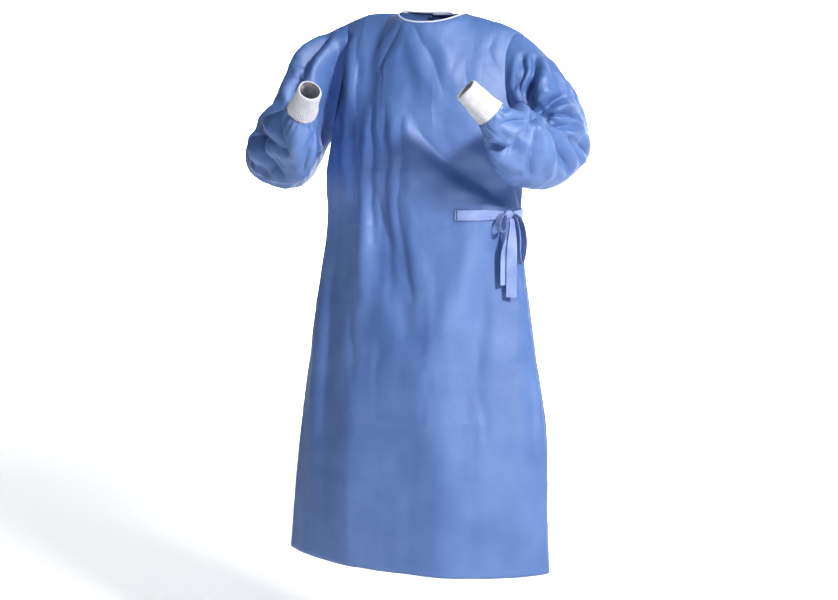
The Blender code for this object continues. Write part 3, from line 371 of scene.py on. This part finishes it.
def refined(mesh, levels, corners="PRESERVE_CORNERS"):
    """The mesh smoothed and divided further."""
    holder = bpy.data.objects.new("being_refined", mesh)
    scene.collection.objects.link(holder)
    smooth = holder.modifiers.new("smooth", "SUBSURF")
    smooth.levels = smooth.render_levels = levels
    smooth.boundary_smooth = corners
    result = bpy.data.meshes.new_from_object(holder.evaluated_get(bpy.context.evaluated_depsgraph_get()))
    bpy.data.objects.remove(holder, do_unlink=True)
    return result


def outer_side(node, looks):
    """The outer side of a cloth solid, as a sheet of quads."""
    bm = bmesh.new()
    bm.from_mesh(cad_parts[node].data)
    bmesh.ops.remove_doubles(bm, verts=bm.verts[:], dist=2e-5)
    bm.normal_update()
    looks = Vector(looks)
    first = max(bm.faces, key=lambda face: face.calc_center_median() @ looks)
    kept = {first}
    waiting = [first]
    while waiting:
        face = waiting.pop()
        for edge in face.edges:
            for other in edge.link_faces:
                if other not in kept and face.normal.angle(other.normal, pi) < WALL_ANGLE:
                    kept.add(other)
                    waiting.append(other)
    bmesh.ops.delete(bm, geom=[face for face in bm.faces if face not in kept], context="FACES")
    bmesh.ops.join_triangles(bm, faces=bm.faces[:], angle_face_threshold=radians(70.0),
                             angle_shape_threshold=radians(80.0))
    mesh = bpy.data.meshes.new(node)
    bm.to_mesh(mesh)
    bm.free()
    return mesh


def sewn_together():
    """All cloth pieces as one sheet, joined at their seams; a face's material says its piece."""
    bm = bmesh.new()
    for number, piece in enumerate(PIECES):
        done = len(bm.faces)
        bm.from_mesh(outer_side(piece.node, piece.looks))
        bm.faces.ensure_lookup_table()
        for face in bm.faces[done:]:
            face.material_index = number
    edge_verts = [vert for vert in bm.verts if vert.is_boundary]
    owner = {vert: vert.link_faces[0].material_index for vert in edge_verts}
    tree = KDTree(len(edge_verts))
    for number, vert in enumerate(edge_verts):
        tree.insert(vert.co, number)
    tree.balance()
    leader = {vert: vert for vert in edge_verts}

    def head(vert):
        while leader[vert] is not vert:
            vert = leader[vert]
        return vert

    for vert in edge_verts:
        joined = set()
        for place, number, gap in tree.find_range(vert.co, WELD):
            other = edge_verts[number]
            if owner[other] != owner[vert] and owner[other] not in joined:
                joined.add(owner[other])
                if head(other) is not head(vert):
                    leader[head(other)] = head(vert)
    groups = {}
    for vert in edge_verts:
        groups.setdefault(head(vert), []).append(vert)
    target = {}
    for first, group in groups.items():
        if len(group) > 1:
            first.co = sum((vert.co for vert in group), Vector()) / len(group)
            target.update({vert: first for vert in group if vert is not first})
    bmesh.ops.weld_verts(bm, targetmap=target)
    tall = [edge for edge in bm.edges if max(vert.co.z for vert in edge.verts) < UNDERARM_Z + 0.004
            and abs(edge.verts[0].co.z - edge.verts[1].co.z) > 0.8 * edge.calc_length()
            and all(face.material_index < SLEEVE_LEFT for face in edge.link_faces)]
    bmesh.ops.subdivide_edges(bm, edges=tall, cuts=1, use_grid_fill=True)
    mesh = bpy.data.meshes.new("sewn")
    bm.to_mesh(mesh)
    bm.free()
    smooth = refined(mesh, 2)
    # finer still where the creases are: on the sleeves and on the body above the hips
    bm = bmesh.new()
    bm.from_mesh(smooth)
    fine = [edge for edge in bm.edges
            if all(face.material_index >= SLEEVE_LEFT or face.calc_center_median().z > FINE_ABOVE[face.material_index]
                   for face in edge.link_faces)]
    bmesh.ops.subdivide_edges(bm, edges=fine, cuts=1, use_grid_fill=True, smooth=0.6)
    bm.to_mesh(smooth)
    bm.free()
    return smooth


def read_points(mesh):
    """Points and normals of a mesh as arrays."""
    points = np.empty(len(mesh.vertices) * 3)
    mesh.vertices.foreach_get("co", points)
    normals = np.array([normal.vector[:] for normal in mesh.vertex_normals])
    return points.reshape(-1, 3), normals


def write_points(mesh, points):
    mesh.vertices.foreach_set("co", points.ravel())
    mesh.update()


def spread(values, edges, times):
    """Blur a value over the sheet, a step along its edges each time."""
    counts = np.bincount(edges.ravel(), minlength=len(values)).clip(1)
    for _ in range(times):
        total = np.bincount(edges[:, 0], values[edges[:, 1]], len(values))
        total += np.bincount(edges[:, 1], values[edges[:, 0]], len(values))
        values = (values + total / counts) / 2.0
    return values


def path_distance(points, path):
    """Distance of points from a path, and how far along it the nearest place is, 0 to 1."""
    path = np.array(path)
    lengths = np.linalg.norm(np.diff(path, axis=0), axis=1)
    starts = np.concatenate([[0.0], np.cumsum(lengths)])
    best = np.full(len(points), np.inf)
    along = np.zeros(len(points))
    for a, b, start, length in zip(path, path[1:], starts, lengths):
        t = np.clip((points - a) @ (b - a) / (length * length), 0.0, 1.0)
        far = np.linalg.norm(points - a - t[:, None] * (b - a), axis=1)
        near = far < best
        best[near] = far[near]
        along[near] = (start + t[near] * length) / starts[-1]
    return best, along


def gathers(points, cuff, side):
    """Small pleats round the end of a sleeve, fading out away from the cuff."""
    aim = np.array(Vector(cuff.aim).normalized()) * (side, 1.0, 1.0)
    crook = np.array(cuff.crook) * (side, 1.0, 1.0)
    crook -= aim * (crook @ aim)
    crook /= np.linalg.norm(crook)
    from_base = points - np.array(cuff.base) * (side, 1.0, 1.0)
    along = from_base @ aim
    angle = np.arctan2(from_base @ np.cross(crook, aim), from_base @ crook)
    uneven = 1.6 * np.sin(2.0 * angle + side) + 1.1 * np.sin(5.0 * angle)
    pleats = np.cos(13.0 * angle + uneven) * (0.75 + 0.25 * np.sin(3.0 * angle))
    fade = np.exp(-np.abs(along) / GATHER_LENGTH) * (1.0 - np.exp(-(along / 0.004) ** 2))
    near = np.linalg.norm(from_base, axis=1) < 0.085
    return GATHER_DEPTH * pleats * fade * near


def laid_on(path, points, tree):
    """A path in space divided finer and laid on the cloth."""
    laid = []
    for a, b in zip(path, path[1:]):
        steps = max(1, round(float(np.linalg.norm(b - a)) / 0.009))
        laid += [a + (b - a) * step / steps for step in range(steps)]
    laid.append(path[-1])
    return np.array([np.mean([points[found[1]] for found in tree.find_n(place, 5)], axis=0) for place in laid])


def crease_push(points, creases, mask, gain=1.0):
    """How far each point moves along its normal for a set of creases."""
    push = np.zeros(len(points))
    on_piece = np.flatnonzero(mask > 0.3)
    tree = KDTree(len(on_piece))
    if points.shape[1] == 3:
        for vert in on_piece:
            tree.insert(points[vert], vert)
        tree.balance()
    for crease in creases:
        reach = 0.001 * crease.width
        path = np.array(crease.path)
        if points.shape[1] == 3:
            path = laid_on(path, points, tree)
        close = np.all((points > path.min(axis=0) - 4 * reach) & (points < path.max(axis=0) + 4 * reach), axis=1)
        close &= mask > 0.0
        far, along = path_distance(points[close], path)
        wide = reach * (0.75 + 0.4 * np.sin(pi * along))
        strength = 0.001 * gain * crease.depth * (0.3 + 0.7 * np.sin(pi * along) ** 0.7)
        # a trough is sharp at its bottom with puffed cloth beside it, a ridge is round on top
        if crease.depth < 0.0:
            core = np.exp(-(far / (0.85 * wide)) ** 1.25)
            lips = 0.40 * np.exp(-((far - 2.4 * wide) / (1.2 * wide)) ** 2)
        else:
            core = 0.8 * np.exp(-(far / (1.5 * wide)) ** 2)
            lips = 0.15 * np.exp(-((far - 3.0 * wide) / wide) ** 2)
        push[close] += strength * (core - lips)
    return push * mask


def waves(points, sizes, seed):
    """Soft noise from minus one to one; sizes are its wavelengths along X, Y and Z."""
    offset = Vector((seed * 7.3, seed * 3.1, seed * 5.7))
    scaled = points / np.array(sizes)
    return np.array([noise.noise(Vector(point) + offset) for point in scaled])


def settled_edge(mesh, points, number):
    """How far each point near the free upright edge of a piece sinks."""
    bm = bmesh.new()
    bm.from_mesh(mesh)
    free = [vert for vert in bm.verts if vert.is_boundary and vert.link_faces[0].material_index == number
            and -1.17 < vert.co.z < -0.02]
    tree = KDTree(len(free))
    for vert in free:
        tree.insert(vert.co, vert.index)
    tree.balance()
    bm.free()
    far = np.array([tree.find(point)[2] for point in points])
    away_from_tie = 1.0 - np.exp(-((points[:, 2] - TIE_Z) / TIE_REACH) ** 2)
    return EDGE_SETTLE * np.exp(-(far / EDGE_REACH) ** 2) * away_from_tie


def drape(mesh):
    """Press the creases, the packet folds and the seams into the sheet."""
    points, normals = read_points(mesh)
    edges = np.empty(len(mesh.edges) * 2, dtype=int)
    mesh.edges.foreach_get("vertices", edges)
    edges = edges.reshape(-1, 2)
    share = np.zeros((len(PIECES), len(points)))
    for face in mesh.polygons:
        for vert in face.vertices:
            share[face.material_index, vert] = 1.0
    on_seam = (share.sum(axis=0) > 1.0).astype(float)
    share /= share.sum(axis=0)
    share = np.array([spread(row, edges, 5) for row in share])
    # paths waver a few millimetres, as creases do
    waver = np.stack([waves(points, (0.045, 0.045, 0.045), seed) for seed in (1, 2, 3)], axis=1) * 0.006
    moved = points + waver
    flat = moved[:, [0, 2]]
    back = share[BACK_UNDER] + share[BACK_OVER]
    push = crease_push(flat, FRONT_CREASES, share[FRONT], 0.56)
    push += crease_push(flat, BACK_CREASES, back, 1.5)
    push += crease_push(moved, SIDE_CREASES, share[FRONT] + back, 1.0)
    push += crease_push(moved, LEFT_CREASES, share[SLEEVE_LEFT], 1.75)
    push += crease_push(moved, RIGHT_CREASES, share[SLEEVE_RIGHT], 1.5)
    # gathers where the sleeves run into the cuffs
    for side, number in ((1, SLEEVE_LEFT), (-1, SLEEVE_RIGHT)):
        push += gathers(points, CUFFS[side], side) * share[number]
    body = share[FRONT] + back
    sleeves = share[SLEEVE_LEFT] + share[SLEEVE_RIGHT]
    # slow waves: long and upright on the body, shorter and in every direction on the sleeves
    push += body * 0.0026 * waves(points, (0.055, 0.055, 0.30), 4)
    push += body * 0.0013 * waves(points, (0.030, 0.030, 0.090), 5)
    push += sleeves * 0.0030 * waves(points, (0.050, 0.050, 0.060), 6)
    push += sleeves * 0.0016 * waves(points, (0.024, 0.024, 0.028), 7)
    # packet folds, worn away in places
    worn = np.clip(0.5 + 1.4 * waves(points, (0.12, 0.12, 0.10), 8), 0.0, 1.0)
    for at, lines in ((2, PACKET_LEVELS), (0, PACKET_COLUMNS)):
        for number, line in enumerate(lines):
            sign = 1.0 if number % 2 else -1.0
            far = np.abs(points[:, at] + 0.0015 * waver[:, at] / 0.006 - line)
            push += body * worn * sign * PACKET_DEPTH * np.exp(-far / PACKET_WIDTH)
    push -= SEAM_DEPTH * spread(on_seam, edges, 1) * 1.6
    push -= settled_edge(mesh, points, BACK_OVER) * share[BACK_OVER]
    write_points(mesh, points + normals * push[:, None])
    return on_seam


def cut_apart(mesh, finish):
    """The sewn sheet as one thin shell for each piece of cloth."""
    shells = []
    for number, piece in enumerate(PIECES):
        bm = bmesh.new()
        bm.from_mesh(mesh)
        others = [face for face in bm.faces if face.material_index != number]
        bmesh.ops.delete(bm, geom=others, context="FACES")
        for face in bm.faces:
            face.material_index = 0
        part = bpy.data.meshes.new(piece.name)
        bm.to_mesh(part)
        bm.free()
        shell = new_piece(piece.name, part, finish)
        thick = shell.modifiers.new("thickness", "SOLIDIFY")
        thick.thickness = SHELL
        thick.offset = -1.0
        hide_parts(piece.node)
        shells.append(shell)
    return shells


def stitch_shape(bm, place, along, out, length, radius):
    """One stitch: a thin drop of thread lying on the cloth."""
    side = out.cross(along).normalized()
    turn = Matrix((along * length / 2.0, side * radius, out * radius)).transposed().to_4x4()
    bmesh.ops.create_icosphere(bm, subdivisions=1, radius=1.0, matrix=Matrix.Translation(place) @ turn)


def sew(name, mesh, rows, finish, length=0.0019, radius=0.00042):
    """Rows of stitches, each row a list of edges with the distance in from the edge."""
    bm = bmesh.new()
    bm.from_mesh(mesh)
    tree = BVHTree.FromBMesh(bm)
    bm.free()
    bm = bmesh.new()
    for start, end, inward, distance in rows:
        count = max(1, round((end - start).length / 0.0034))
        for step in range(count):
            guess = start.lerp(end, (step + 0.5) / count) + inward * distance
            place, normal, index, gap = tree.find_nearest(guess)
            along = (end - start).normalized()
            along = (along - normal * along.dot(normal)).normalized()
            stitch_shape(bm, place + normal * radius * 0.5, along, normal, length, radius)
    threads = bpy.data.meshes.new(name)
    bm.to_mesh(threads)
    bm.free()
    return new_piece(name, threads, finish)


def seam_rows(mesh):
    """Edges beside which the stitches run, with the piece they lie on."""
    bm = bmesh.new()
    bm.from_mesh(mesh)
    rows = {"seams": [], "armholes": []}
    for edge in bm.edges:
        faces = edge.link_faces
        if len(faces) != 2 or faces[0].material_index == faces[1].material_index:
            continue
        face = min(faces, key=lambda face: face.material_index)
        other = max(faces, key=lambda face: face.material_index)
        middle = (edge.verts[0].co + edge.verts[1].co) / 2.0
        inward = (face.calc_center_median() - middle).normalized()
        kind = "armholes" if other.material_index >= SLEEVE_LEFT else "seams"
        rows[kind].append((edge.verts[0].co.copy(), edge.verts[1].co.copy(), inward, 0.0035))
    bm.free()
    return rows


def copy_of(node, levels, crease_angle=None):
    """A rounded copy of a node's mesh; edges sharper than the angle stay crisp."""
    bm = bmesh.new()
    bm.from_mesh(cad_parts[node].data)
    bmesh.ops.remove_doubles(bm, verts=bm.verts[:], dist=2e-5)
    bm.normal_update()
    bmesh.ops.join_triangles(bm, faces=bm.faces[:], angle_face_threshold=radians(35.0),
                             angle_shape_threshold=radians(60.0))
    if crease_angle:
        crisp = bm.edges.layers.float.new("crease_edge")
        for edge in bm.edges:
            if edge.calc_face_angle(0.0) > crease_angle:
                edge[crisp] = 0.85
    mesh = bpy.data.meshes.new(node)
    bm.to_mesh(mesh)
    bm.free()
    return refined(mesh, levels)


def make_cuff(side, name, node, finish):
    """A ribbed knit cuff, gathered a little and tucked into its sleeve."""
    cuff = CUFFS[side]
    aim = Vector(cuff.aim).normalized()
    crook = Vector(cuff.crook)
    crook = (crook - aim * crook.dot(aim)).normalized()
    outer = crook.cross(aim)
    around = CUFF_RIBS * CUFF_RIB_POINTS
    bm = bmesh.new()
    uv = bm.loops.layers.uv.new("along_the_cuff")
    bmesh.ops.create_grid(bm, x_segments=around, y_segments=CUFF_ROWS, size=0.5)
    for face in bm.faces:
        for loop in face.loops:
            loop[uv].uv = (loop.vert.co.x + 0.5, loop.vert.co.y + 0.5)
    for vert in bm.verts:
        turn, t = vert.co.x + 0.5, vert.co.y + 0.5
        angle = 2.0 * pi * turn
        radius = CUFF_BASE_RADIUS + (CUFF_END_RADIUS - CUFF_BASE_RADIUS) * sin(pi * t / 2.0)
        radius -= 0.0012 - 0.00075 * cos(CUFF_RIBS * angle)
        # soft rings where the knit slackens, and a rolled end
        radius += 0.0009 * sin(9.0 * t + 2.0 * cos(angle)) * (1.0 - t)
        radius += 0.0012 * noise.noise(Vector((cos(angle), sin(angle), 3.0 * t + side)))
        radius -= 0.0022 * max(0.0, t - 0.93) / 0.07
        spoke = crook * cos(angle) + outer * sin(angle)
        place = Vector(cuff.base) + aim * (t * (CUFF_LENGTH + CUFF_TUCK) - CUFF_TUCK) + spoke * radius
        vert.co = Vector((side * place.x, place.y, place.z))
    bmesh.ops.remove_doubles(bm, verts=bm.verts[:], dist=1e-6)
    bmesh.ops.recalc_face_normals(bm, faces=bm.faces[:])
    middle = Vector((side * cuff.base[0], cuff.base[1], cuff.base[2]))
    bm.faces.ensure_lookup_table()
    face = bm.faces[0]
    away = face.calc_center_median() - middle
    away -= Vector((side * aim.x, aim.y, aim.z)) * away.dot(Vector((side * aim.x, aim.y, aim.z)))
    if face.normal.dot(away) < 0.0:
        bmesh.ops.reverse_faces(bm, faces=bm.faces[:])
    mesh = bpy.data.meshes.new(name)
    bm.to_mesh(mesh)
    bm.free()
    piece = new_piece(name, mesh, finish)
    thick = piece.modifiers.new("thickness", "SOLIDIFY")
    thick.thickness = CUFF_THICKNESS
    thick.offset = -1.0
    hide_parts(node)
    return piece


def pleated_knot():
    """The knot's own form with the tape's pleats pulled tight round it."""
    mesh = copy_of("bow_knot", 3)
    points, normals = read_points(mesh)
    middle = points.mean(axis=0)
    out = unit_of((points - middle) * (1.0, 1.0, 0.0))
    height = (points[:, 2] - middle[2]) / 0.011
    slant = np.einsum("ij,j->i", points - middle, (70.0, 60.0, 420.0))
    pleats = np.sin(slant) * (1.0 - height ** 2).clip(0.0, 1.0)
    pinch = np.exp(-(height / 0.25) ** 2)
    write_points(mesh, points + normals * (0.00075 * pleats - 0.0006)[:, None] - out * 0.0004 * pinch[:, None])
    return mesh


def unit_of(vectors):
    """Vectors scaled to length one."""
    return vectors / np.linalg.norm(vectors, axis=-1, keepdims=True).clip(1e-9)


def tack_with_painted_shade(name, strip_name, towards, finish):
    """Dense stitches across the sewn end of a tie, in a dark thread that paints the shade of the sewn end."""
    mesh = bpy.data.objects[strip_name].data
    points, normals = read_points(mesh)
    towards = np.array(towards)
    reach = points @ towards
    end = reach > reach.max() - 0.0035
    low, high = points[end][:, 2].min(), points[end][:, 2].max()
    bm = bmesh.new()
    bm.from_mesh(mesh)
    tree = BVHTree.FromBMesh(bm)
    bm.free()
    bm = bmesh.new()
    middle = Vector(points[end].mean(axis=0))
    count = 17
    for row in (0.0, 0.0011):
        for step in range(count):
            height = low + (high - low) * (0.04 + 0.92 * (step + 0.5 * (row > 0.0)) / (count - 0.5))
            guess = Vector((middle.x, middle.y, height)) - Vector(towards) * (0.0012 + row)
            place, normal, index, gap = tree.find_nearest(guess + Vector(body_out(guess)) * 0.004)
            along = Vector((0.0, 0.0, 1.0))
            along = (along - normal * along.dot(normal)).normalized()
            stitch_shape(bm, place + normal * 0.0002, along, normal, 0.0017, 0.00055)
    threads = bpy.data.meshes.new(name)
    bm.to_mesh(threads)
    bm.free()
    return new_piece(name, threads, finish)


def body_out(place):
    """The way out from the middle of the body, level."""
    return Vector((place.x, place.y - 0.01, 0.0)).normalized()


# Camera first
eye = VIEW_TARGET + VIEW_DISTANCE * Vector((sin(VIEW_AZIMUTH) * cos(VIEW_ELEVATION),
                                            -cos(VIEW_AZIMUTH) * cos(VIEW_ELEVATION), sin(VIEW_ELEVATION)))
camera_data = bpy.data.cameras.new("camera")
camera_data.sensor_width = SENSOR
camera_data.lens = SENSOR * FOCAL_PIXELS / PHOTO_SIZE[0]
camera_data.shift_x = (PHOTO_SIZE[0] / 2 - VIEW_TARGET_PIXEL[0]) / PHOTO_SIZE[0]
camera_data.shift_y = (VIEW_TARGET_PIXEL[1] - PHOTO_SIZE[1] / 2) / PHOTO_SIZE[0]
camera_data.clip_end = 60.0
camera = bpy.data.objects.new("camera", camera_data)
camera.location = eye
camera.rotation_euler = (VIEW_TARGET - eye).to_track_quat("-Z", "Y").to_euler()
scene.collection.objects.link(camera)
scene.camera = camera

blue = nonwoven("spunbond_nonwoven_blue", "496BA6", "5A7AB3")
white = knit("rib_knit_white")
pale = tape("binding_tape_pale", "C8CFEA", "DCE1F2", 0.6)
ribbon = tape("tie_tape_pale_blue", "7D8FC0", "8C9ECA", 0.5)
blue_thread = thread("sewing_thread_blue", "4468B8")
# the dark thread is painted shade: it darkens the tie's sewn end, where the shade falls
shade_thread = thread("sewing_thread_painted_shade", "2B478C")

sewn = sewn_together()
drape(sewn)
rows = seam_rows(sewn)
shells = cut_apart(sewn, blue)
sew("seam_stitches", sewn, rows["seams"], blue_thread)
sew("armhole_stitches", sewn, rows["armholes"], blue_thread)
make_cuff(1, "knit_cuff_left", "cuff_left", white)
make_cuff(-1, "knit_cuff_right", "cuff_right", white)

binding = new_piece("neck_tape", copy_of("neck_binding", 2), pale)
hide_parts("neck_binding")
TIES = (
    ("front_tie", "waist_tie_front", (0.022, 0.105), "laid"),
    ("back_tie", "waist_tie_back", (0.022, 0.255), "laid"),
    ("front_tail", "tie_tail_front", (0.022, 0.171), "hung"),
    ("back_tail", "tie_tail_back", (0.020, 0.146), "hung"),
    ("front_loop", "bow_loop_front", (0.018, 0.090), "folded"),
    ("side_loop", "bow_loop_side", (0.018, 0.220), "folded"),
)
for name, node, flat, held in TIES:
    strip = new_piece(name, copy_of(node, 3, radians(50.0)), ribbon)
    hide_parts(node)
knot = new_piece("knot", pleated_knot(), ribbon)
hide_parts("bow_knot")
# real bar tacks in the dark thread, which also paints the shade of each tie's sewn end
tack_with_painted_shade("front_tack_painted_shade", "front_tie", (-1.0, 0.0, 0.0), shade_thread)
tack_with_painted_shade("back_tack_painted_shade", "back_tie", (0.0, 1.0, 0.0), shade_thread)

# Stage: a pale floor that runs up into a pale backdrop, well below and behind the gown
FLOOR_Z = -1.52
stage_finish, stage_tree, stage_shader = new_finish("painted_backdrop_white", 0.9)
stage_shader.inputs["Base Color"].default_value = linear("F8F8F8")
stage_shader.inputs["Emission Color"].default_value = linear("FFFFFF")
stage_shader.inputs["Emission Strength"].default_value = 0.30
stage_shader.inputs["Specular IOR Level"].default_value = 0.1
bm = bmesh.new()
bmesh.ops.create_grid(bm, x_segments=1, y_segments=1, size=14.0)
bmesh.ops.translate(bm, verts=bm.verts[:], vec=(0.0, -9.0, FLOOR_Z))
far_edge = max(bm.edges, key=lambda edge: sum(vert.co.y for vert in edge.verts))
turned = bmesh.ops.spin(bm, geom=[far_edge], cent=(0.0, 5.0, FLOOR_Z + 2.0), axis=(1.0, 0.0, 0.0),
                        angle=pi / 2.0, steps=16)
top = [item for item in turned["geom_last"] if isinstance(item, bmesh.types.BMVert)]
raised = bmesh.ops.extrude_edge_only(bm, edges=[item for item in turned["geom_last"]
                                                if isinstance(item, bmesh.types.BMEdge)])
bmesh.ops.translate(bm, verts=[item for item in raised["geom"] if isinstance(item, bmesh.types.BMVert)],
                    vec=(0.0, 0.0, 9.0))
stage_mesh = bpy.data.meshes.new("studio")
bm.to_mesh(stage_mesh)
bm.free()
stage_mesh.materials.append(stage_finish)
stage_mesh.shade_smooth()
studio = bpy.data.objects.new("studio", stage_mesh)
scene.collection.objects.link(studio)


def add_light(name, place, target, size, power, colour, spread_angle=pi):
    """A soft square light aimed at a point."""
    data = bpy.data.lights.new(name, "AREA")
    data.spread = spread_angle
    data.size = size
    data.energy = power
    data.color = colour
    lamp = bpy.data.objects.new(name, data)
    lamp.location = place
    lamp.rotation_euler = (Vector(target) - Vector(place)).to_track_quat("-Z", "Y").to_euler()
    scene.collection.objects.link(lamp)


add_light("key", (2.75, -1.95, 1.25), (0.0, -0.05, -0.50), 0.5, 142.0, (1.0, 0.95, 0.91))
add_light("fill", (0.9, -2.4, 2.3), (0.0, -0.05, -0.45), 1.6, 26.0, (0.82, 0.93, 1.0))
add_light("backdrop_left", (-3.4, 2.6, 2.2), (-1.2, 7.0, -0.5), 2.0, 300.0, (1.0, 1.0, 1.0), radians(110.0))
add_light("backdrop_right", (3.4, 2.6, 2.2), (1.2, 7.0, -0.5), 2.0, 300.0, (1.0, 1.0, 1.0), radians(110.0))
world = bpy.data.worlds.new("studio_air")
world.use_nodes = True
world.node_tree.nodes["Background"].inputs["Color"].default_value = (0.66, 0.86, 1.0, 1.0)
world.node_tree.nodes["Background"].inputs["Strength"].default_value = 0.10
scene.world = world
